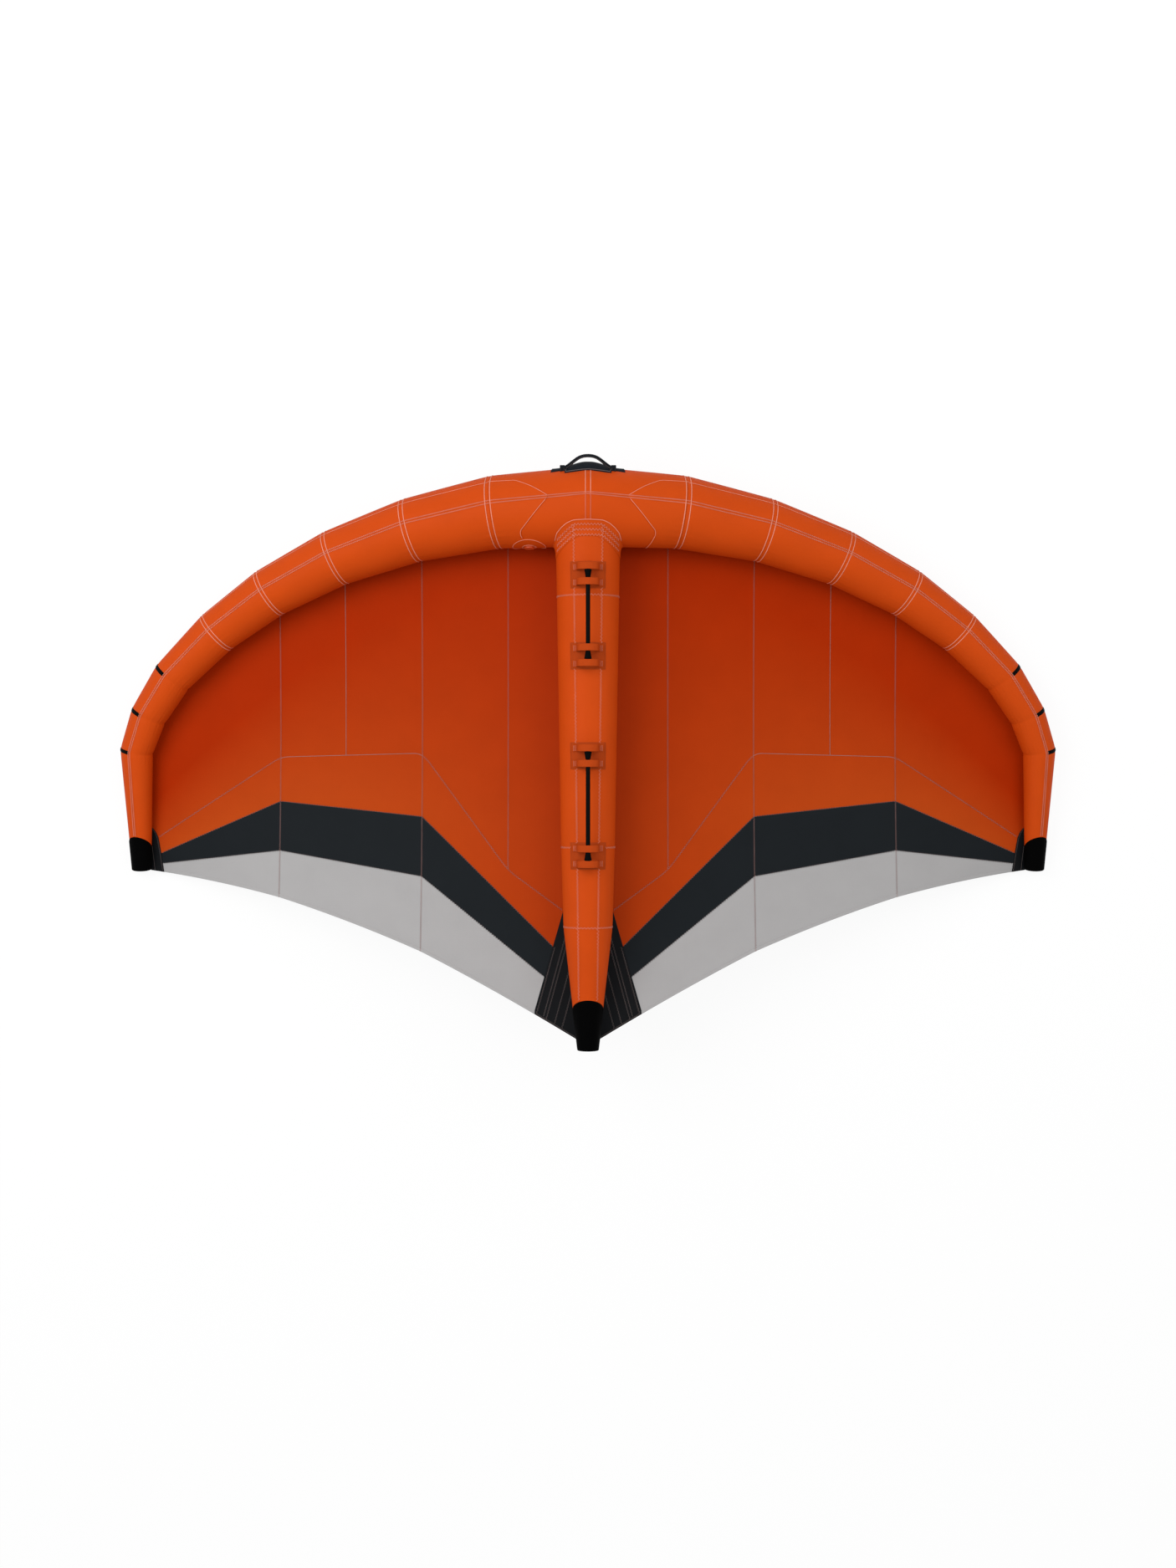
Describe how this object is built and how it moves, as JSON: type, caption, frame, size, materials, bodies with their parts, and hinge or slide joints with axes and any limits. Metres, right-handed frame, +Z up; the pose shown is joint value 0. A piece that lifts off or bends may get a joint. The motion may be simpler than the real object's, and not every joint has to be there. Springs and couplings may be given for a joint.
{
  "type": "inflatable wing",
  "caption": "Hand-held inflatable water sports wing: curved leading edge tube, one centre strut with two bar handles, nose handle, valve and sewn canopy.",
  "frame": {"origin": "on the ground, under the middle of the overall box, with the wing lying handle side up", "axes": "+X along the span, +Y towards the nose of the leading edge, +Z up, out of the handle side"},
  "size_m": [3.133, 1.9023, 0.5442],
  "materials": {
    "tube_cloth": "woven polyester cloth, matt",
    "black_cloth": "coated woven cloth, matt",
    "cap_cloth": "heavy coated cloth, matt",
    "canopy_orange": "ripstop sailcloth, slightly glossy",
    "canopy_deep_orange": "ripstop sailcloth, slightly glossy",
    "canopy_navy": "ripstop sailcloth, slightly glossy",
    "canopy_pale": "ripstop sailcloth, slightly glossy",
    "orange_webbing": "ribbed webbing, matt",
    "bar_tube": "smooth moulded grip, satin",
    "stop_rubber": "moulded rubber, matt",
    "nose_handle_webbing": "padded webbing and cord, matt",
    "bladder_film": "clear film, glossy",
    "valve_plastic": "moulded, satin"
  },
  "bodies": {
    "wing": {"le_casing_centre_left": "tube_cloth", "le_casing_centre_right": "tube_cloth", "le_casing_2": "tube_cloth", "le_casing_3": "tube_cloth", "le_casing_4": "tube_cloth", "le_casing_5": "tube_cloth", "le_casing_6": "tube_cloth", "le_casing_7": "tube_cloth", "le_casing_8": "tube_cloth", "le_casing_9": "tube_cloth", "le_bladder": "bladder_film", "strut_casing_1": "tube_cloth", "strut_casing_2": "tube_cloth", "strut_casing_3": "tube_cloth", "strut_casing_4": "tube_cloth", "strut_bladder": "bladder_film", "one_pump_connector": "valve_plastic", "junction_collar": "tube_cloth", "nose_reinforcements": "tube_cloth", "seam_guard_bands": "black_cloth", "tip_caps": "cap_cloth", "strut_cap": "cap_cloth", "canopy_front_1": "canopy_orange", "canopy_front_2": "canopy_orange", "canopy_front_3": "canopy_orange", "canopy_front_4": "canopy_orange", "canopy_front_5": "canopy_orange", "canopy_rear_1": "canopy_deep_orange", "canopy_rear_2": "canopy_deep_orange", "canopy_rear_3": "canopy_deep_orange", "canopy_stripe_1": "canopy_navy", "canopy_stripe_2": "canopy_navy", "canopy_stripe_3": "canopy_navy", "canopy_edge_1": "canopy_pale", "canopy_edge_2": "canopy_pale", "canopy_edge_3": "canopy_pale", "corner_reinforcements": "black_cloth", "tip_reinforcements": "canopy_navy", "trailing_edge_hem": "canopy_pale", "handle_pads": "orange_webbing", "front_arches": "orange_webbing", "rear_arches": "orange_webbing", "nose_handle_base": "nose_handle_webbing", "nose_handle_keepers": "nose_handle_webbing", "valve_patch": "tube_cloth", "valve_neck": "valve_plastic", "valve_ring": "valve_plastic", "valve_flap": "valve_plastic"},
    "front_handle": {"front_handle_bar": "bar_tube", "front_handle_stops": "stop_rubber"},
    "rear_handle": {"rear_handle_bar": "bar_tube", "rear_handle_stops": "stop_rubber"},
    "nose_handle": {"nose_handle_loop": "nose_handle_webbing"},
    "cap": {"valve_cap": "valve_plastic"}
  },
  "joints": [
    {"name": "front_handle_sway", "type": "hinge", "parent": "wing", "child": "front_handle", "pos_m": [0, 0.44556, 0.40792], "axis": [0, -0.9918, 0.1277], "range_deg": [-20, 20]},
    {"name": "rear_handle_sway", "type": "hinge", "parent": "wing", "child": "rear_handle", "pos_m": [0, -0.15551, 0.47526], "axis": [0, -0.9918, 0.1277], "range_deg": [-20, 20]},
    {"name": "nose_handle_swing", "type": "hinge", "parent": "wing", "child": "nose_handle", "pos_m": [0, 0.90897, 0.28224], "axis": [1, 0, 0], "range_deg": [-75, 30]},
    {"name": "valve_cap_hinge", "type": "hinge", "parent": "wing", "child": "cap", "pos_m": [-0.16748, 0.65336, 0.26217], "axis": [-0.14, 0.2438, 0.9597], "range_deg": [0, 110]}
  ]
}
